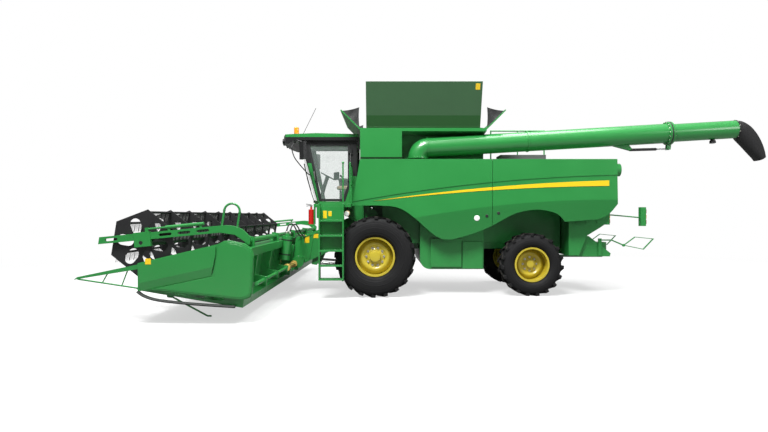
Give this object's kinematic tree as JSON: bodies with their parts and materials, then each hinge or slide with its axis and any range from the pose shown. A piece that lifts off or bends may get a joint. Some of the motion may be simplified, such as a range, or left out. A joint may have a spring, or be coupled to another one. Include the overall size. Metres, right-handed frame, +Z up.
{
  "type": "combine harvester",
  "caption": "Self-propelled grain harvester with a wide cutting header and reel, feeder house, glazed cab, grain tank with fold-up flaps, swing-out unloading auger and steered rear wheels.",
  "frame": {"origin": "on the ground, under the middle of the overall length and width", "axes": "+X to the rear of the machine along its travel line, +Y to its right-hand side, +Z up"},
  "size_m": [14.9402, 10.67, 5.1426],
  "materials": {
    "green_paint": "gloss",
    "yellow_paint": "gloss",
    "black_trim": "satin",
    "dark_frame": "satin",
    "engine_grey": "matte",
    "glazing": "clear",
    "seat_cloth": "matte",
    "red_paint": "gloss",
    "soft_rubber": "matte",
    "tyre": "matte",
    "shaft_guard": "satin",
    "bare_steel": "brushed"
  },
  "bodies": {
    "chassis": {"main_frame": "dark_frame", "front_axle": "dark_frame", "threshing_body": "green_paint", "rear_hood": "green_paint", "grain_tank": "green_paint", "engine": "engine_grey", "engine_deck": "green_paint", "cab_shell": "black_trim", "cab_roof": "green_paint", "cab_glass": "glazing", "cab_seat": "seat_cloth", "landing": "black_trim", "straw_spreader": "green_paint", "rear_guards": "green_paint", "rear_axle": "dark_frame", "mirrors": "black_trim", "fire_extinguisher": "red_paint"},
    "unloader": {"unloading_tube": "green_paint", "unloading_spout": "soft_rubber"},
    "ladder": {"ladder": "green_paint"},
    "panel_left_front": {"side_panel_left_front": "green_paint"},
    "panel_left_rear": {"side_panel_left_rear": "green_paint"},
    "panel_right_front": {"side_panel_right_front": "green_paint"},
    "panel_right_rear": {"side_panel_right_rear": "green_paint"},
    "door": {"cab_door": "black_trim", "cab_door_glass": "glazing"},
    "flap_left": {"flap_left": "green_paint"},
    "flap_right": {"flap_right": "green_paint"},
    "flap_front": {"flap_front": "green_paint", "gussets_front": "soft_rubber"},
    "flap_rear": {"flap_rear": "green_paint", "gussets_rear": "soft_rubber"},
    "wheel_front_left": {"front_tyre_left": "tyre", "front_rim_left": "yellow_paint"},
    "wheel_front_right": {"front_tyre_right": "tyre", "front_rim_right": "yellow_paint"},
    "wheel_rear_left": {"rear_tyre_left": "tyre", "rear_rim_left": "yellow_paint"},
    "wheel_rear_right": {"rear_tyre_right": "tyre", "rear_rim_right": "yellow_paint"},
    "knuckle_left": {"knuckle_left": "dark_frame"},
    "knuckle_right": {"knuckle_right": "dark_frame"},
    "header": {"feeder_house": "green_paint", "drive_shaft": "shaft_guard", "header_frame": "green_paint", "header_ends": "green_paint", "cutterbar": "bare_steel"},
    "intake": {"intake_auger": "green_paint"},
    "reel_arms": {"reel_arms": "green_paint"},
    "reel_carriers": {"reel_carriers": "green_paint"},
    "reel": {"reel": "dark_frame"},
    "lift_barrels": {"lift_barrels": "black_trim"},
    "lift_rods": {"lift_rods": "bare_steel"},
    "stand": {"header_stand": "dark_frame"}
  },
  "joints": [
    {"name": "front_left_spin", "type": "hinge", "parent": "chassis", "child": "wheel_front_left", "pos_m": [-2.12608, -1.54, 0.965], "axis": [0, 1, 0], "continuous": true},
    {"name": "front_right_spin", "type": "hinge", "parent": "chassis", "child": "wheel_front_right", "pos_m": [-2.12608, 1.54, 0.965], "axis": [0, 1, 0], "continuous": true},
    {"name": "steer_left", "type": "hinge", "parent": "chassis", "child": "knuckle_left", "pos_m": [1.67392, -1.08, 0.76], "axis": [0, 0, 1], "range_deg": [-32, 32]},
    {"name": "steer_right", "type": "hinge", "parent": "chassis", "child": "knuckle_right", "pos_m": [1.67392, 1.08, 0.76], "axis": [0, 0, 1], "range_deg": [-32, 32]},
    {"name": "rear_left_spin", "type": "hinge", "parent": "knuckle_left", "child": "wheel_rear_left", "pos_m": [1.67392, -1.4, 0.76], "axis": [0, 1, 0], "continuous": true},
    {"name": "rear_right_spin", "type": "hinge", "parent": "knuckle_right", "child": "wheel_rear_right", "pos_m": [1.67392, 1.4, 0.76], "axis": [0, 1, 0], "continuous": true},
    {"name": "feeder_lift", "type": "hinge", "parent": "chassis", "child": "header", "pos_m": [-2.47608, 0, 1.85], "axis": [0, 1, 0], "range_deg": [-7, 12]},
    {"name": "barrel_swing", "type": "hinge", "parent": "chassis", "child": "lift_barrels", "pos_m": [-2.37608, 0, 0.64], "axis": [0, 1, 0], "range_deg": [-6.33, 10.49]},
    {"name": "rod_slide", "type": "slide", "parent": "lift_barrels", "child": "lift_rods", "axis": [-0.9972, 0, 0.0746], "range_m": [-0.1494, 0.2532]},
    {"name": "intake_spin", "type": "hinge", "parent": "header", "child": "intake", "pos_m": [-5.08011, 0, 0.81461], "axis": [0, 1, 0], "continuous": true},
    {"name": "reel_lift", "type": "hinge", "parent": "header", "child": "reel_arms", "pos_m": [-4.39511, 0, 1.49584], "axis": [0, 1, 0], "range_deg": [0, 18]},
    {"name": "reel_slide", "type": "slide", "parent": "reel_arms", "child": "reel_carriers", "axis": [0.9954, 0, 0.0958], "range_m": [0, 0.28]},
    {"name": "reel_spin", "type": "hinge", "parent": "reel_carriers", "child": "reel", "pos_m": [-6.30515, 0, 1.45412], "axis": [0, 1, 0], "continuous": true},
    {"name": "stand_fold", "type": "hinge", "parent": "header", "child": "stand", "pos_m": [-5.83138, 0, 0.48204], "axis": [0, -1, 0], "range_deg": [0, 17]},
    {"name": "unloader_swing", "type": "hinge", "parent": "chassis", "child": "unloader", "pos_m": [-1.07608, -1.28, 3.62], "axis": [0, 0, -1], "range_deg": [0, 100]},
    {"name": "ladder_swing", "type": "hinge", "parent": "chassis", "child": "ladder", "pos_m": [-3.47108, -1.965, 2], "axis": [0, 0, -1], "range_deg": [0, 90]},
    {"name": "door_swing", "type": "hinge", "parent": "chassis", "child": "door", "pos_m": [-2.73808, -0.942, 3], "axis": [0, 0, 1], "range_deg": [0, 85]},
    {"name": "panel_left_front_lift", "type": "hinge", "parent": "chassis", "child": "panel_left_front", "pos_m": [-1.02608, -1.545, 3.3], "axis": [-1, 0, 0], "range_deg": [0, 70]},
    {"name": "panel_left_rear_lift", "type": "hinge", "parent": "chassis", "child": "panel_left_rear", "pos_m": [2.17392, -1.545, 3.3], "axis": [-1, 0, 0], "range_deg": [0, 70]},
    {"name": "panel_right_front_lift", "type": "hinge", "parent": "chassis", "child": "panel_right_front", "pos_m": [-1.02608, 1.545, 3.3], "axis": [1, 0, 0], "range_deg": [0, 70]},
    {"name": "panel_right_rear_lift", "type": "hinge", "parent": "chassis", "child": "panel_right_rear", "pos_m": [2.17392, 1.545, 3.3], "axis": [1, 0, 0], "range_deg": [0, 70]},
    {"name": "flap_left_fold", "type": "hinge", "parent": "chassis", "child": "flap_left", "pos_m": [-0.95608, -1.485, 4.1103], "axis": [-1, 0, 0], "range_deg": [0, 111]},
    {"name": "flap_right_fold", "type": "hinge", "parent": "chassis", "child": "flap_right", "pos_m": [-0.95608, 1.485, 4.1103], "axis": [1, 0, 0], "range_deg": [0, 111]},
    {"name": "flap_front_fold", "type": "hinge", "parent": "chassis", "child": "flap_front", "pos_m": [-2.48108, 0, 4.0503], "axis": [0, 1, 0], "range_deg": [0, 135], "deforming": ["gussets_front"]},
    {"name": "flap_rear_fold", "type": "hinge", "parent": "chassis", "child": "flap_rear", "pos_m": [0.57892, 0, 4.0503], "axis": [0, -1, 0], "range_deg": [0, 135], "deforming": ["gussets_rear"]}
  ],
  "couplings": [
    {"joint": "steer_right", "follows": "steer_left", "ratio": 1},
    {"joint": "barrel_swing", "follows": "feeder_lift", "ratio": 0.83277},
    {"joint": "rod_slide", "follows": "feeder_lift", "m_per_rad": 1.19}
  ]
}
